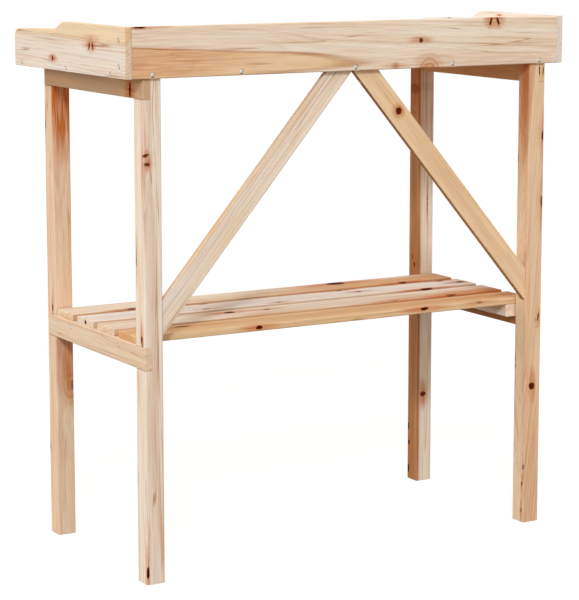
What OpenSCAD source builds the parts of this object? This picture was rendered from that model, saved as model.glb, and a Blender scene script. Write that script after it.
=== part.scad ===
// Potting bench of planed softwood: an open-fronted tray on four square legs, with a slatted
// shelf below and a pair of braces across the back.
// Front is -Y, the back board is at +Y, and the origin is on the ground under the middle.

/* [Overall] */
// Length over the outer faces of the two side panels
bench_l = 798; // [650:1:1300]
// Depth from the front ends of the side panels to the rear face of the back board
bench_d = 405; // [390:1:520]
// Height from the ground to the top of the back board
bench_h = 850; // [720:1:1000]

/* [Frame] */
// How far the side panels stand outside the legs
side_overhang = 30; // [12:1:60]
// How far the tray reaches forward of the front legs
front_overhang = 45; // [20:1:50]
// How far the back board stands behind the rear legs
back_proud = 5; // [0:0.5:9]
// Side of a square leg
leg_w = 31; // [28:1:45]
// Radius of the planed edges of legs, rails and battens
leg_edge_r = 2.5; // [1:0.5:4]

/* [Side rails] */
// Thickness of a side rail between the legs
rail_t = 26; // [18:1:30]
// Thickness of a side rail where it is halved into a leg
lap_t = 13; // [9:1:16]
// Height of the rails under the tray
top_rail_h = 31; // [24:1:50]
// Height of the rails under the shelf
shelf_rail_h = 36; // [26:1:60]

/* [Tray] */
// Height of the back board, and of the side panels at their rear ends
back_h = 77; // [66:1:120]
// Thickness of the back board
back_t = 11; // [9:0.5:18]
// Thickness of the side panels
panel_t = 11; // [9:0.5:18]
// How far a side panel drops in its swept step
sweep_drop = 12.5; // [4:0.5:20]
// How far its top edge slopes down from the foot of the step to the rounded front corner
front_slope = 5; // [1:0.5:15]
// Radius of the front top corner of a side panel
panel_corner_r = 15; // [5:1:25]
// Distance from the front end of a side panel to the foot of the swept step
sweep_from = 146; // [80:1:200]
// Length of the swept step, front to rear
sweep_run = 48; // [40:1:90]
// Thickness of the planks that floor the tray
plank_t = 11; // [9:0.5:18]
// Drain gap between neighbouring planks
plank_gap = 2.4; // [1:0.1:8]
// Gap between an end of a plank or of the back board and the side panel
end_gap = 0.3; // [0:0.1:1]
// Side of the square battens in the tray corners and under the shelf
batten_w = 21; // [16:1:28]
// How far the corner battens stop below the top of the back board
batten_drop = 6; // [1:0.5:9]
// Radius of the planed edges of the thin boards
board_edge_r = 2; // [0.5:0.5:3]

/* [Shelf] */
// Height from the ground to the top of the shelf
shelf_top_h = 380; // [200:1:480]
// Thickness of a shelf slat
slat_t = 11; // [9:0.5:18]
// Width of a shelf slat
slat_w = 60; // [40:1:64]
// Gap between the outermost slats and the legs
slat_leg_gap = 3; // [1:0.5:8]
// How far the slat ends stop short of the outer faces of the rails
slat_inset = 2; // [0:0.5:8]
// Gap between an end of a shelf cleat and the leg
cleat_leg_gap = 4; // [0.5:0.5:10]

/* [Braces] */
// Width of a brace
brace_w = 36; // [25:1:60]
// Thickness of a brace
brace_t = 11; // [9:0.5:16]
// How far the braces lie in front of the rear faces of the legs
brace_inset = 4.5; // [3.5:0.5:12]
// Gap between the two braces where they meet under the tray
brace_gap = 0.4; // [0.2:0.1:4]
// Height of the brace feet above the top of the shelf
brace_foot_rise = 0; // [0:1:80]

/* [Screws] */
// Diameter of a screw shank
screw_d = 4; // [3:0.5:5]
// Diameter of a countersunk screw head
head_d = 7.6; // [6:0.2:9]
// Depth of a screw head below the wood
head_sink = 0.4; // [0:0.1:1.5]
// Play between a screw and its hole, all round
screw_play = 0.1; // [0.05:0.05:0.3]
// Length of the screws through thin boards into an edge or a rail
board_screw_l = 35; // [28:1:38]
// Length of the screws into the corner battens and up into the slats
batten_screw_l = 27; // [25:1:29]
// Length of the screws through the shelf rails into the cleats
cleat_screw_l = 42; // [36:1:44]
// Length of the screws that hold the brace feet to the legs
brace_foot_screw_l = 35; // [28:1:42]
// Length of the screws that hold the brace heads to the tray
brace_head_screw_l = 22; // [19:0.5:23]
// Distance from the front end of a side panel to its front lower screw
panel_front_screw = 28; // [15:1:40]
// Height of the lower batten screw above the bottom of the side panel
batten_screw_low = 18; // [17:1:24]
// Height of the upper batten screw above the bottom of the side panel
batten_screw_high = 57; // [48:1:62]
// Distance between the two screws at each end of a plank
plank_screw_spread = 38; // [20:1:46]
// Distance between the two screws at each end of a slat
slat_screw_spread = 30; // [16:1:40]
// Distance from the front leg to the front cleat screw
cleat_screw_front = 56; // [48:1:61]
// Distance from the rear leg to the rear cleat screw
cleat_screw_rear = 60; // [55:1:62]
// Distance from the right end screw of the back board to its neighbour
back_screw_step_right = 150; // [90:1:220]
// Distance from the left end screw of the back board to its neighbour
back_screw_step_left = 171; // [90:1:220]
// Height of a brace foot screw above the foot of the brace
brace_foot_screw = 23; // [14:1:34]
// Distance from the middle of the bench to a brace head screw
brace_head_screw = 16; // [14:1:20]

/* [Hidden] */
$fn = 48;
plank_n = 5;
slat_n = 4;
eps = 0.01;
// How far a cut runs past the face that it opens
over = 1;

// Heights
tray_z = bench_h - back_h;
plank_mid_z = tray_z + plank_t / 2;
plank_top_z = tray_z + plank_t;
batten_h = back_h - plank_t - batten_drop;
shelf_rail_top = shelf_top_h - slat_t;
shelf_rail_z = shelf_rail_top - shelf_rail_h;
top_rail_z = tray_z - top_rail_h;
cleat_z = shelf_rail_top - batten_w;

// Front to rear
rear_y = bench_d / 2;
front_y = -bench_d / 2;
leg_rear_y = rear_y - back_proud;
leg_front_y = front_y + front_overhang;
frame_d = leg_rear_y - leg_front_y;
clear_front_y = leg_front_y + leg_w;
clear_rear_y = leg_rear_y - leg_w;
clear_d = clear_rear_y - clear_front_y;
back_front_y = rear_y - back_t;
brace_rear_y = leg_rear_y - brace_inset;
brace_mid_y = brace_rear_y - brace_t / 2;
leg_y = [leg_front_y + leg_w / 2, leg_rear_y - leg_w / 2];

// Along the length, measured from the middle
leg_out_x = bench_l / 2 - side_overhang;
leg_in_x = leg_out_x - leg_w;
rail_in_x = leg_out_x - rail_t;
lap_in_x = leg_out_x - lap_t;
panel_out_x = bench_l / 2;
panel_in_x = panel_out_x - panel_t;
board_l = 2 * (panel_in_x - end_gap);
slat_l = 2 * (leg_out_x - slat_inset);
batten_x = panel_in_x - batten_w / 2;
cleat_x = rail_in_x - batten_w / 2;
post_x = (leg_in_x + lap_in_x) / 2;
leg_mid_x = (leg_in_x + leg_out_x) / 2;
rail_mid_x = (rail_in_x + leg_out_x) / 2;

// Rows of planks and slats
plank_w = (back_front_y - front_y - (plank_n - 1) * plank_gap) / plank_n;
function plank_y(i) = front_y + plank_w / 2 + (i - 1) * (plank_w + plank_gap);
slat_pitch = (clear_d - 2 * slat_leg_gap - slat_w) / (slat_n - 1);
function slat_y(i) = clear_front_y + slat_leg_gap + slat_w / 2 + (i - 1) * slat_pitch;

// Screws in the tray: the plank screws miss the legs, which have one screw of their own
tray_screw_y = [front_y + panel_front_screw, plank_y(ceil(plank_n / 2)), plank_y(plank_n)];
back_screw_x = [
  -leg_mid_x, -leg_mid_x + back_screw_step_left, 0, leg_mid_x - back_screw_step_right, leg_mid_x
];
batten_screw_z = [tray_z + batten_screw_low, tray_z + batten_screw_high];
batten_mid_y = back_front_y - batten_w / 2;
batten_back_screw_z = [
  for (f = [1, 2]) batten_screw_z[0] + f * (batten_screw_z[1] - batten_screw_z[0]) / 3
];
rail_screw_y = [
  for (i = [1:plank_n], s = [-1, 1]) let (y = plank_y(i) + s * plank_screw_spread / 2)
    if (y > clear_front_y + head_d && y < clear_rear_y - head_d) y
];
slat_screw_y = [for (i = [1:slat_n], s = [-1, 1]) slat_y(i) + s * slat_screw_spread / 2];
cleat_screw_y = [clear_front_y + cleat_screw_front, clear_rear_y - cleat_screw_rear];
cleat_screw_z = shelf_rail_top - batten_w / 2;

// Braces: the lower edge runs from under the tray at the middle to the leg at the shelf
brace_foot_z = shelf_top_h + brace_foot_rise;
brace_rise = (tray_z - brace_foot_z) / (leg_in_x - brace_gap / 2);
brace_angle = atan(brace_rise);
function brace_low_z(x) = tray_z - (x - brace_gap / 2) * brace_rise;

// Softwood colours, from pale sapwood to warmer heartwood
pale = "#e9cfae";
warm = "#dfb98e";
cream = "#efdcc2";
steel = "#c9c8c4";

// Section of a planed bar, a by b, with its four long edges rounded
module bar_section(a, b, r) {
  translate([r, 0]) square([a - 2 * r, b]);
  translate([0, r]) square([a, b - 2 * r]);
  for (x = [r, a - r], y = [r, b - r]) translate([x, y]) circle(r);
}

// Bars lying along X, along Y and standing along Z, with the low corner at the origin
module bar_x(l, d, h, r) { rotate([90, 0, 90]) linear_extrude(l) bar_section(d, h, r); }
module bar_y(w, l, h, r) { translate([0, l, 0]) rotate([90, 0, 0]) linear_extrude(l) bar_section(w, h, r); }
module bar_z(w, d, h, r) { linear_extrude(h) bar_section(w, d, r); }

// Turns +Z, the way a screw is driven, to another direction
module aim(way) {
  turn = way == "-x" ? [0, -90, 0] : way == "+x" ? [0, 90, 0] : way == "-y" ? [90, 0, 0]
    : way == "+y" ? [-90, 0, 0] : way == "-z" ? [180, 0, 0] : [0, 0, 0];
  rotate(turn) children();
}

// Outline of a countersunk screw, half of its section, grown by the play all round
module screw_half(l, play) {
  r = screw_d / 2 + play;
  hr = head_d / 2 + play;
  taper = hr - r;
  point = screw_d;
  polygon([
    [0, -play], [hr, -play], [r, taper - play], [r, l - point], [0.3 + play, l + play], [0, l + play]
  ]);
}

// A countersunk screw with a cross recess; the top of its head is at the origin, its point at +Z
module screw(l) {
  recess_w = head_d / 7;
  recess_l = head_d * 0.52;
  recess_d = head_d * 0.2;
  difference() {
    rotate_extrude() screw_half(l, 0);
    for (turn = [0, 90]) rotate([0, 0, turn])
      translate([-recess_l / 2, -recess_w / 2, -eps]) cube([recess_l, recess_w, recess_d + eps]);
  }
}

// The hole that a screw leaves, with a round pocket above its head that reaches the surface
module screw_hole(l, pocket) {
  rotate_extrude() screw_half(l, screw_play);
  translate([0, 0, -pocket]) cylinder(h = pocket, r = head_d / 2 + screw_play);
}

// Places a screw, or the hole for one, with its head sunk below the surface at the given point
module at_screw(place, way) { translate(place) aim(way) translate([0, 0, head_sink]) children(); }

// Every screw site of the bench, each drawing a screw or cutting its hole. s is -1 left, 1 right.
module side_panel_sites(s) {
  for (y = tray_screw_y) at_screw([s * panel_out_x, y, plank_mid_z], s > 0 ? "-x" : "+x") children();
}
module corner_side_sites(s) {
  for (z = batten_screw_z) at_screw([s * panel_out_x, batten_mid_y, z], s > 0 ? "-x" : "+x") children();
}
module corner_back_sites(s) {
  for (z = batten_back_screw_z) at_screw([s * batten_x, back_front_y - batten_w, z], "+y") children();
}
module back_board_sites() {
  for (x = back_screw_x) at_screw([x, rear_y, plank_mid_z], "-y") children();
}
module plank_sites(s) {
  for (y = rail_screw_y) at_screw([s * rail_mid_x, y, plank_top_z], "-z") children();
  for (y = leg_y) at_screw([s * post_x, y, plank_top_z], "-z") children();
}
module cleat_sites(s) {
  for (y = cleat_screw_y) at_screw([s * leg_out_x, y, cleat_screw_z], s > 0 ? "-x" : "+x") children();
}
module slat_sites(s) {
  for (y = slat_screw_y) at_screw([s * cleat_x, y, cleat_z], "+z") children();
}
// The brace screws start where their whole head is inside the slanting lower edge
module brace_foot_site(s) {
  x = leg_in_x - (brace_foot_screw - head_d / 2) / brace_rise;
  z = brace_foot_z + brace_foot_screw;
  translate([s * x, brace_mid_y, z]) aim(s > 0 ? "+x" : "-x") children();
}
module brace_head_site(s) {
  z = brace_low_z(brace_head_screw - head_d / 2);
  translate([s * brace_head_screw, brace_mid_y, z]) aim("+z") children();
}

// A square leg, with housings in its outer face for the halved ends of the two side rails
module leg(s, y) {
  color(pale) difference() {
    translate([s > 0 ? leg_in_x : -leg_out_x, y, 0]) bar_z(leg_w, leg_w, tray_z, leg_edge_r);
    for (rail = [[top_rail_z, top_rail_h + over], [shelf_rail_z, shelf_rail_h]])
      translate([s > 0 ? lap_in_x : -leg_out_x - over, y - over, rail[0]])
        cube([lap_t + over, leg_w + 2 * over, rail[1]]);
    plank_sites(s) screw_hole(board_screw_l, over);
    brace_foot_site(s) screw_hole(brace_foot_screw_l, head_d);
  }
}

// A side rail: full thickness between the legs, halved at both ends to lie flush in them
module side_rail(s, z, h) {
  color(warm) difference() {
    intersection() {
      translate([s > 0 ? rail_in_x : -leg_out_x, leg_front_y, z]) bar_y(rail_t, frame_d, h, leg_edge_r);
      translate([s > 0 ? rail_in_x - 2 * leg_edge_r : -leg_out_x, leg_front_y, z])
        bar_z(rail_t + 2 * leg_edge_r, frame_d, h, leg_edge_r);
    }
    for (y = [leg_front_y - over, clear_rear_y])
      translate([s > 0 ? rail_in_x - over : -lap_in_x, y, z - over])
        cube([rail_t - lap_t + over, leg_w + over, h + 2 * over]);
    plank_sites(s) screw_hole(board_screw_l, over);
    cleat_sites(s) screw_hole(cleat_screw_l, over);
  }
}
module top_rail(s) { side_rail(s, top_rail_z, top_rail_h); }
module shelf_rail(s) { side_rail(s, shelf_rail_z, shelf_rail_h); }

// A square cleat screwed along the inside of a shelf rail; the slats are screwed to it from below
module shelf_cleat(s) {
  color(pale) difference() {
    translate([s > 0 ? rail_in_x - batten_w : -rail_in_x, clear_front_y + cleat_leg_gap, cleat_z])
      bar_y(batten_w, clear_d - 2 * cleat_leg_gap, batten_w, leg_edge_r);
    cleat_sites(s) screw_hole(cleat_screw_l, over);
    slat_sites(s) screw_hole(batten_screw_l, over);
  }
}

// A shelf slat, lying on both shelf rails and cleats
module shelf_slat(i) {
  color(cream) difference() {
    translate([-slat_l / 2, slat_y(i) - slat_w / 2, shelf_rail_top])
      bar_x(slat_l, slat_w, slat_t, board_edge_r);
    for (s = [-1, 1]) slat_sites(s) screw_hole(batten_screw_l, over);
  }
}

// A brace, cut level under the tray and upright against the leg
module brace(s) {
  color(warm) difference() {
    mirror([s > 0 ? 0 : 1, 0, 0]) intersection() {
      translate([brace_gap / 2, brace_rear_y - brace_t, tray_z]) rotate([0, brace_angle, 0])
        translate([-brace_w, 0, 0]) bar_x(bench_h + bench_l, brace_t, brace_w, board_edge_r);
      translate([brace_gap / 2, clear_rear_y, 0]) cube([leg_in_x - brace_gap / 2, leg_w, tray_z]);
    }
    brace_foot_site(s) screw_hole(brace_foot_screw_l, head_d);
    brace_head_site(s) screw_hole(brace_head_screw_l, head_d);
  }
}

// A plank of the tray floor
module tray_plank(i) {
  color(cream) difference() {
    translate([-board_l / 2, plank_y(i) - plank_w / 2, tray_z])
      bar_x(board_l, plank_w, plank_t, board_edge_r);
    for (s = [-1, 1]) {
      side_panel_sites(s) screw_hole(board_screw_l, over);
      plank_sites(s) screw_hole(board_screw_l, over);
      brace_head_site(s) screw_hole(brace_head_screw_l, head_d);
    }
    back_board_sites() screw_hole(board_screw_l, over);
  }
}

// Outline of a side panel, front end at the left: a low front with a rounded corner, a swept
// step made of a hollow and a round arc of one radius, and the full height behind it
module panel_outline() {
  low_h = back_h - sweep_drop;
  front_h = low_h - front_slope;
  mid = sweep_from + sweep_run / 2;
  end = sweep_from + sweep_run;
  r = (sweep_run ^ 2 + sweep_drop ^ 2) / (4 * sweep_drop);
  c = panel_corner_r;
  translate([c, front_h - c]) circle(c, $fn = 64);
  polygon([
    [0, 0], [mid, 0], [mid, low_h], [sweep_from, low_h], [c, front_h], [c, front_h - c], [0, front_h - c]
  ]);
  translate([mid, 0]) square([bench_d - mid, low_h]);
  translate([end, 0]) square([bench_d - end, back_h]);
  difference() {
    translate([sweep_from, low_h - over]) square([mid - sweep_from, sweep_drop / 2 + over]);
    translate([sweep_from, low_h + r]) circle(r, $fn = 256);
  }
  intersection() {
    translate([mid, low_h - over]) square([end - mid, sweep_drop + over]);
    translate([end, back_h - r]) circle(r, $fn = 256);
  }
}

// A side panel of the tray, standing outside the ends of the planks and of the back board
module side_panel(s) {
  color(cream) difference() {
    translate([s > 0 ? panel_in_x : -panel_out_x, front_y, tray_z])
      rotate([90, 0, 90]) linear_extrude(panel_t) panel_outline();
    side_panel_sites(s) screw_hole(board_screw_l, over);
    corner_side_sites(s) screw_hole(batten_screw_l, over);
  }
}

// The back board, between the side panels and screwed to the edge of the rear plank
module back_board() {
  color(warm) difference() {
    translate([-board_l / 2, back_front_y, tray_z]) bar_x(board_l, back_t, back_h, board_edge_r);
    back_board_sites() screw_hole(board_screw_l, over);
    for (s = [-1, 1]) corner_back_sites(s) screw_hole(batten_screw_l, over);
  }
}

// A square batten standing in a rear corner of the tray, joining the back board to the panel
module corner_batten(s) {
  color(pale) difference() {
    translate([s * batten_x - batten_w / 2, back_front_y - batten_w, plank_top_z])
      bar_z(batten_w, batten_w, batten_h, leg_edge_r);
    corner_side_sites(s) screw_hole(batten_screw_l, over);
    corner_back_sites(s) screw_hole(batten_screw_l, over);
  }
}

// The screws, one module for each group
module both_sides() { color(steel) for (s = [-1, 1]) { $s = s; children(); } }
module side_panel_screws() { both_sides() side_panel_sites($s) screw(board_screw_l); }
module back_board_screws() { color(steel) back_board_sites() screw(board_screw_l); }
module corner_batten_screws() {
  both_sides() {
    corner_side_sites($s) screw(batten_screw_l);
    corner_back_sites($s) screw(batten_screw_l);
  }
}
module tray_plank_screws() { both_sides() plank_sites($s) screw(board_screw_l); }
module shelf_cleat_screws() { both_sides() cleat_sites($s) screw(cleat_screw_l); }
module shelf_slat_screws() { both_sides() slat_sites($s) screw(batten_screw_l); }
module brace_screws() {
  both_sides() {
    brace_foot_site($s) screw(brace_foot_screw_l);
    brace_head_site($s) screw(brace_head_screw_l);
  }
}

leg(-1, leg_front_y);  // leg_front_left
leg(1, leg_front_y);  // leg_front_right
leg(-1, clear_rear_y);  // leg_rear_left
leg(1, clear_rear_y);  // leg_rear_right
top_rail(-1);  // top_rail_left
top_rail(1);  // top_rail_right
shelf_rail(-1);  // shelf_rail_left
shelf_rail(1);  // shelf_rail_right
shelf_cleat(-1);  // shelf_cleat_left
shelf_cleat(1);  // shelf_cleat_right
shelf_slat(1);  // shelf_slat_1
shelf_slat(2);  // shelf_slat_2
shelf_slat(3);  // shelf_slat_3
shelf_slat(4);  // shelf_slat_4
brace(-1);  // brace_left
brace(1);  // brace_right
tray_plank(1);  // tray_plank_1
tray_plank(2);  // tray_plank_2
tray_plank(3);  // tray_plank_3
tray_plank(4);  // tray_plank_4
tray_plank(5);  // tray_plank_5
side_panel(-1);  // side_panel_left
side_panel(1);  // side_panel_right
back_board();
corner_batten(-1);  // corner_batten_left
corner_batten(1);  // corner_batten_right
side_panel_screws();
back_board_screws();
corner_batten_screws();
tray_plank_screws();
shelf_cleat_screws();
shelf_slat_screws();
brace_screws();
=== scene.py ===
import math
from collections import defaultdict
from functools import partial

import bmesh
import bpy
import numpy as np
from mathutils import Euler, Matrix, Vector


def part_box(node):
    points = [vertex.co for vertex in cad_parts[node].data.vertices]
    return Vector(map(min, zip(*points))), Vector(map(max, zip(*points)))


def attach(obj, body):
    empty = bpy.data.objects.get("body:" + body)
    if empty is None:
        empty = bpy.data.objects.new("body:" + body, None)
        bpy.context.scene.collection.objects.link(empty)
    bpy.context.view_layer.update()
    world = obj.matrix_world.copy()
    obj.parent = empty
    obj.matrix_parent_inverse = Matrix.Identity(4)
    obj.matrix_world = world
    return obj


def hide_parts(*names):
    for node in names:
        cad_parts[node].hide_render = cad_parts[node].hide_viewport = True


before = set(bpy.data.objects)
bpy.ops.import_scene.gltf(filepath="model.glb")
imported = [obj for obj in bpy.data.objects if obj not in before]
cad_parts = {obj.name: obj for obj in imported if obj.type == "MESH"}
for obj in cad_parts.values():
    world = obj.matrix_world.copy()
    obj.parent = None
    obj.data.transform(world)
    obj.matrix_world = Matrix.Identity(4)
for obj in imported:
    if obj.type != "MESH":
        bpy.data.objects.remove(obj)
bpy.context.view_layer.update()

# -------------------------------------------------- legs
# Four square legs sawn and planed from Chinese fir, their long edges rubbed round. The outer face
# of each is housed for the halved ends of the rail under the tray and of the rail under the
# shelf, which are glued in flush.
LEG_ARRIS = 2.5  # mm radius of the rounded long edges
SAWN_EASE = 0.7  # mm radius of the sanded edge round a sawn end
LAP = 13.0  # mm of leg that a housing takes away
JOINT = 0.12  # mm of open joint round a glued rail
WAVE, WAVE_LONG = 0.04, 29.0  # mm: half the height of the waves that a plane leaves, their length / 2 pi
HAIR = 1e-4  # mm from a step in the wood to the grid line on each side of it
ACROSS, ALONG, HOUSED = 8.0, 12.0, 40.0  # mm between free grid lines
CROWDED = 0.35  # of that distance: a free line nearer than this to another is left out
SHARP = 38.0  # degrees: edges that keep flat shading apart
MEET = 2e-6  # metres: points nearer than this are one point
PALE, CREAM, STRAW = "#efdac4", "#ead2b2", "#e2bb8c"  # sapwood, and its warmer bands
TAN, ROSE, AMBER = "#d9a473", "#dcb094", "#cf8f55"  # heartwood and tinted bands
LATE, VEIN = "#c08450", "#b4733f"  # late wood and resin veins
HALO, KNOT = "#cb6f31", "#500e00"  # round a knot and in it


def mm_box(node):
    """Lowest and highest corner of a CAD node, in mm."""
    return np.round(np.array(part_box(node)) * 1000, 3)


def middle(node):
    """The middle of a CAD node, in mm."""
    return np.mean(mm_box(node), axis=0)


def lines(lo, hi, pitch, arris, at=(), steps=()):
    """Grid lines from lo to hi: close over the rounded edge at each end, a pitch apart between,
    with a line at each place in at and one a hair to each side of each step. All in mm."""
    near = arris * np.array([0, 0.12, 0.4, 0.7, 1])
    kept = np.concatenate([lo + near, hi - near, at, np.array(steps) - HAIR, np.array(steps) + HAIR])
    kept = np.unique(kept.round(4))
    kept = kept[(kept >= lo) & (kept <= hi)]
    free = np.linspace(lo, hi, max(2, round((hi - lo) / pitch) + 1))
    free = free[np.abs(free[:, None] - kept).min(axis=1) > CROWDED * min(pitch, ALONG)]
    return np.unique(np.append(kept, free))


def skin(u, v, w):
    """The skin of a block on three rows of grid lines: each face is the grid of two rows at the
    first or last line of the third. Gives the points, and faces whose corners turn outwards."""
    ids = np.arange(len(u) * len(v) * len(w)).reshape(len(u), len(v), len(w))
    faces = []
    for axis in range(3):
        for end in (0, -1):
            g = np.take(ids, end, axis=axis)
            four = np.stack([g[:-1, :-1], g[1:, :-1], g[1:, 1:], g[:-1, 1:]], -1).reshape(-1, 4)
            faces.append(four[:, ::-1] if (end == 0) != (axis == 1) else four)
    used, faces = np.unique(np.concatenate(faces), return_inverse=True)
    points = np.stack(np.meshgrid(u, v, w, indexing="ij"), -1).reshape(-1, 3)[used]
    return points, faces.reshape(-1, 4)


def planed(block, lo, hi, along, arris, ease=SAWN_EASE, laps=()):
    """Takes each point of a block to where plane and sandpaper leave it. Across the grain, d is
    how far the point lies outside the block less its arris: it becomes d max|d| / |d|, which turns
    a square corner into a quarter circle. Near an end the section draws in by
    ease - sqrt(ease^2 - (ease - distance)^2), and everywhere by a wave of under 0.1 mm. A lap
    (axis, side, plane, start, end) first presses the points between two cuts to a square face."""
    p = block.copy()
    inner_lo, inner_hi = np.tile(lo + arris, (len(p), 1)), np.tile(hi - arris, (len(p), 1))
    for axis, side, plane, start, end in laps:
        cut = (p[:, along] > start) & (p[:, along] < end)
        press, inner = (np.minimum, inner_hi) if side > 0 else (np.maximum, inner_lo)
        p[cut, axis] = press(p[cut, axis], plane)
        inner[cut, axis] = plane
    d = p - np.clip(p, inner_lo, inner_hi)
    d[:, along] = 0
    near = np.clip(ease - np.minimum(p[:, along] - lo[along], hi[along] - p[:, along]), 0, ease)
    inset = ease - np.sqrt(ease ** 2 - near ** 2)
    inset += WAVE * (1 + np.sin(p[:, along] / WAVE_LONG + lo.sum()))
    far = np.linalg.norm(d, axis=1)
    turn = np.where(far > 0, np.abs(d).max(axis=1) / np.maximum(far, 1e-9), 1) * (1 - inset / arris)
    return p - d + d * turn[:, None]


def linear(colour):
    """An sRGB hex colour as linear RGBA."""
    c = np.array([int(colour[i:i + 2], 16) for i in (1, 3, 5)]) / 255
    c = np.where(c <= 0.04045, c / 12.92, ((c + 0.055) / 1.055) ** 2.4)
    return (*c.tolist(), 1.0)


def add_node(tree, kind, inputs=None, out=0, **settings):
    """Adds a shader node of a kind, whose operation may stand beside it, sets its properties, fills
    or links its inputs, and gives one output. Inputs go by name or number. Those of a Map Range are
    the range it reads, 1 to 2, and the range it gives, 3 to 4; a colour Mix lays 7 over 6 by the
    share 0."""
    kind, *does = kind.split()
    made = tree.nodes.new("ShaderNode" + kind)
    if does:
        made.operation = does[0]
    for key, value in settings.items():
        setattr(made, key, value)
    for key, value in (inputs or {}).items():
        if isinstance(value, bpy.types.NodeSocket):
            tree.links.new(value, made.inputs[key])
        else:
            made.inputs[key].default_value = value
    return made.outputs[out] if made.outputs else None


def nodes_of(owner):
    """Empties the node tree of a material or of the world, and gives what adds nodes to it."""
    owner.use_nodes = True
    owner.node_tree.nodes.clear()
    return partial(add_node, owner.node_tree)


COLOUR = {"data_type": "RGBA", "out": 2}  # makes a Mix mix colours
SMOOTH = {"interpolation_type": "SMOOTHSTEP"}  # makes a Map Range ease in and out
GRAIN = {"x": (0, 90, 0), "y": (-90, 0, 0), "z": (0, 0, 0)}  # turns the log's length onto an axis
RING = 6.0  # mm between growth rings


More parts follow.
